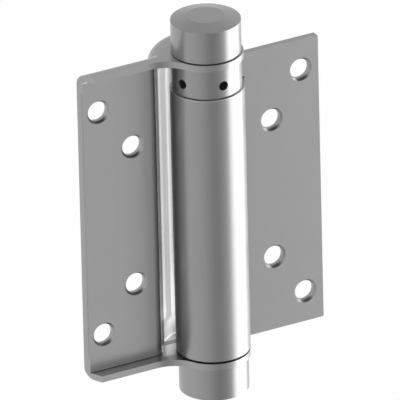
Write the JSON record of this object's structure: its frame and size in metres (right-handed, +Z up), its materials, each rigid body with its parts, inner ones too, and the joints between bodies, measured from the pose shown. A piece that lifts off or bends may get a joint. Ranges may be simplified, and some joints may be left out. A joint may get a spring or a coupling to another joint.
{
  "type": "spring hinge",
  "caption": "Single-action spring hinge for a door: bent-sheet frame leaf with ears, door leaf rolled into a barrel, tension collar and capped spindle, shown open flat.",
  "frame": {"origin": "on the barrel axis, at the lower face of the bottom cap", "axes": "+Z up along the barrel axis, +X towards the door leaf, +Y towards the wall that the backs of the leaves face"},
  "size_m": [0.0832, 0.0308, 0.1331],
  "materials": {
    "satin_steel": "satin",
    "spring_steel": "satin",
    "bush_nylon": "matte"
  },
  "bodies": {
    "frame": {"frame_leaf": "satin_steel", "spindle": "spring_steel", "top_cap": "satin_steel", "bottom_cap": "satin_steel"},
    "door": {"door_leaf": "satin_steel", "spring_anchor": "spring_steel", "lower_bush": "bush_nylon", "barrel_bush": "bush_nylon", "torsion_spring": "spring_steel"},
    "collar": {"adjusting_collar": "satin_steel", "collar_bush": "bush_nylon"}
  },
  "joints": [
    {"name": "leaf_swing", "type": "hinge", "parent": "frame", "child": "door", "pos_m": [0, 0, 0.06655], "axis": [0, 0, 1], "range_deg": [-180, 0], "deforming": ["torsion_spring"]},
    {"name": "collar_turn", "type": "hinge", "parent": "frame", "child": "collar", "pos_m": [0, 0, 0.1127], "axis": [0, 0, 1], "range_deg": [-216, 0], "deforming": ["torsion_spring"]}
  ]
}
